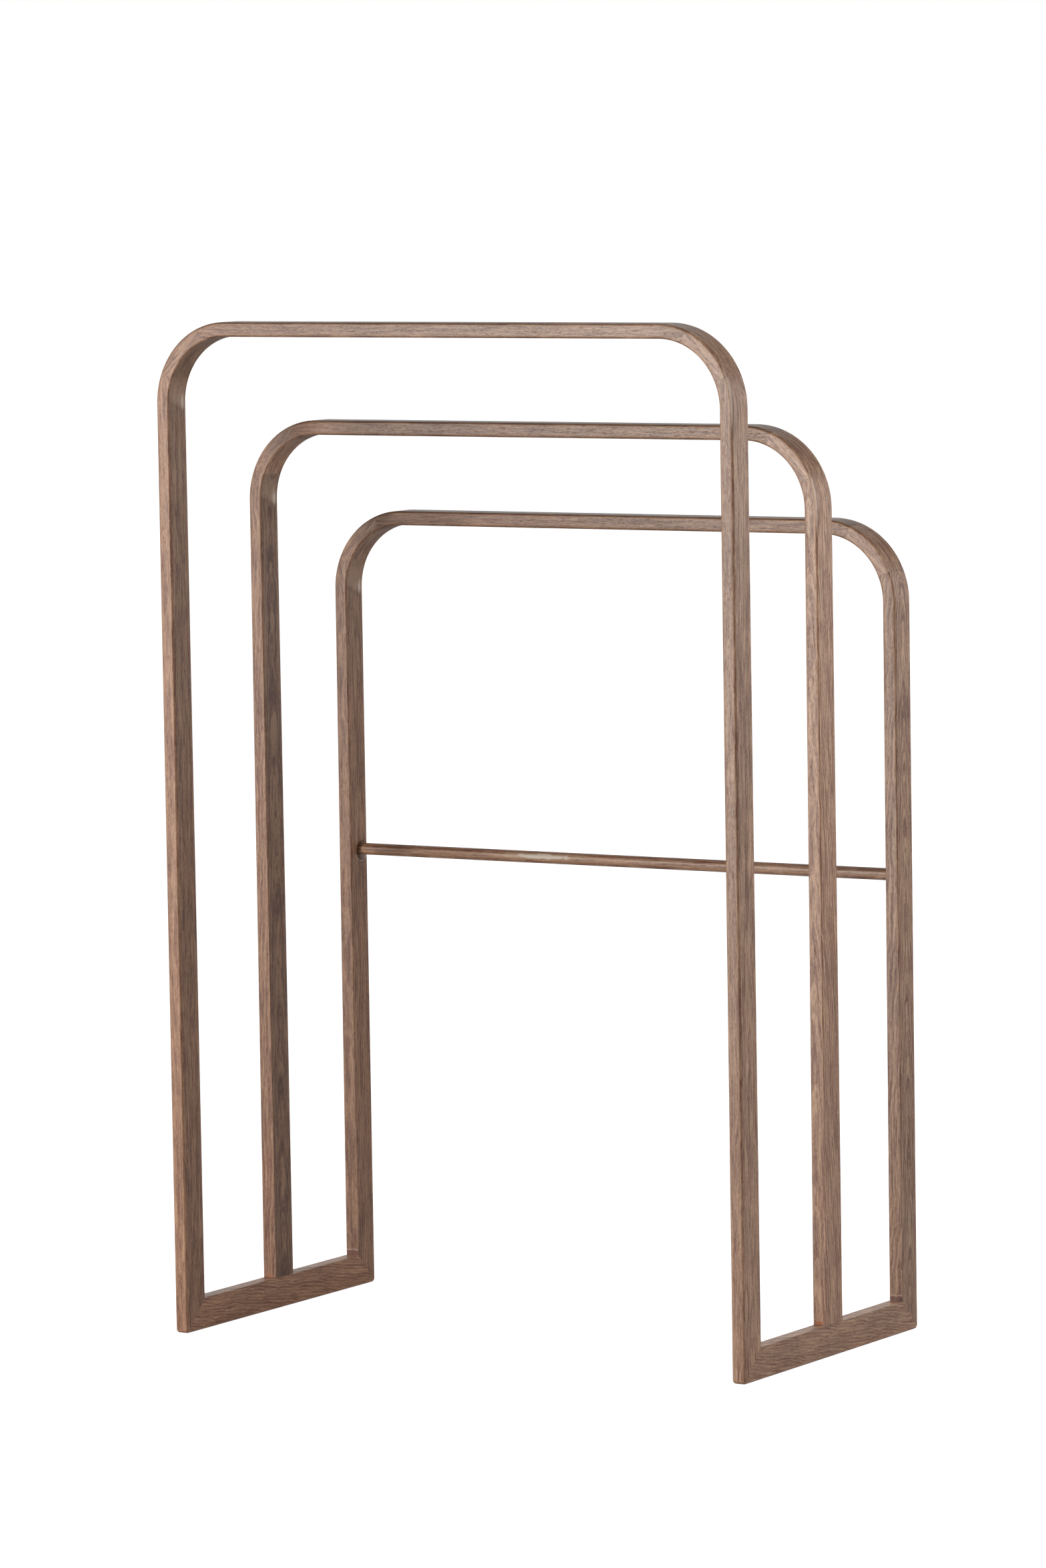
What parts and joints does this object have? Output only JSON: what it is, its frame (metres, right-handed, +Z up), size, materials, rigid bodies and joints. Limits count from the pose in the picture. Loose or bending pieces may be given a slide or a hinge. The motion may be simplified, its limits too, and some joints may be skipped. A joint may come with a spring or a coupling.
{
  "type": "towel rack",
  "caption": "Rigid free-standing walnut rack: nested round-cornered arches in stepped heights, mitred to long foot bars, for hanging towels or blankets.",
  "frame": {"origin": "on the floor, under the middle of the rack's bounding box", "axes": "+X to the right along the rails, +Y backwards from the tallest arch to the lowest, +Z up"},
  "size_m": [0.648, 0.346, 1],
  "materials": {
    "leg_walnut": "satin oiled walnut, grain along the leg",
    "corner_walnut": "satin oiled walnut, grain across the corner at 45 degrees",
    "rail_walnut": "satin oiled walnut, grain along the rail",
    "foot_walnut": "satin oiled walnut, darker, grain along the bar",
    "stretcher_walnut": "turned walnut dowel, satin, with a pale unoiled patch",
    "tenon_beech": "plain beech, hidden in the joints"
  },
  "bodies": {
    "root": {"tall_left_leg": "leg_walnut", "tall_left_corner": "corner_walnut", "tall_left_foot_tenon": "tenon_beech", "tall_left_leg_tenon": "tenon_beech", "tall_left_rail_tenon": "tenon_beech", "tall_right_leg": "leg_walnut", "tall_right_corner": "corner_walnut", "tall_right_foot_tenon": "tenon_beech", "tall_right_leg_tenon": "tenon_beech", "tall_right_rail_tenon": "tenon_beech", "tall_rail": "rail_walnut", "middle_left_leg": "leg_walnut", "middle_left_corner": "corner_walnut", "middle_left_foot_tenon": "tenon_beech", "middle_left_leg_tenon": "tenon_beech", "middle_left_rail_tenon": "tenon_beech", "middle_right_leg": "leg_walnut", "middle_right_corner": "corner_walnut", "middle_right_foot_tenon": "tenon_beech", "middle_right_leg_tenon": "tenon_beech", "middle_right_rail_tenon": "tenon_beech", "middle_rail": "rail_walnut", "low_left_leg": "leg_walnut", "low_left_corner": "corner_walnut", "low_left_foot_tenon": "tenon_beech", "low_left_leg_tenon": "tenon_beech", "low_left_rail_tenon": "tenon_beech", "low_right_leg": "leg_walnut", "low_right_corner": "corner_walnut", "low_right_foot_tenon": "tenon_beech", "low_right_leg_tenon": "tenon_beech", "low_right_rail_tenon": "tenon_beech", "low_rail": "rail_walnut", "left_foot_bar": "foot_walnut", "right_foot_bar": "foot_walnut", "stretcher": "stretcher_walnut"}
  },
  "joints": []
}
